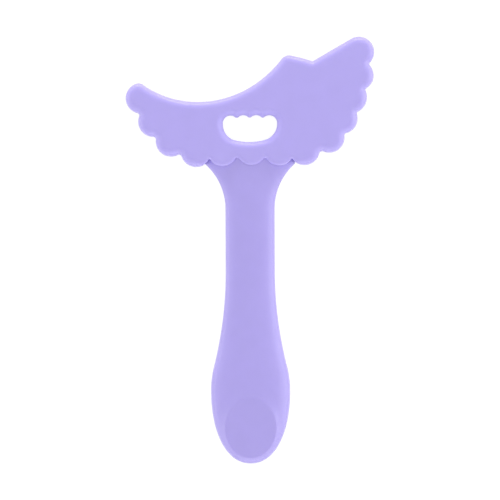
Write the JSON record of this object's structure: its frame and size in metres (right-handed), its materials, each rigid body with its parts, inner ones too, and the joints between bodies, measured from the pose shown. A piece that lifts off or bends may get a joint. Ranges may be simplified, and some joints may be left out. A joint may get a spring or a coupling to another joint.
{
  "type": "mascara shield",
  "caption": "Flat silicone mascara shield: winged blade with a curved lash edge, scalloped lower edge and toothed slot, on a flared handle that widens to a rounded, dished grip.",
  "frame": {"origin": "on the resting surface, under the middle of the tool's length and width, with the tool lying on its back", "axes": "+X across the blade towards its wing tip, +Y along the tool from the grip towards the blade, +Z out of the front"},
  "size_m": [0.0583, 0.1, 0.0048],
  "materials": {
    "blade_silicone": "matt lilac silicone with a smooth moulded surface",
    "handle_silicone": "matt lilac silicone, slightly deeper than the blade's"
  },
  "bodies": {
    "root": {"shield_blade": "blade_silicone", "handle": "handle_silicone"}
  },
  "joints": []
}
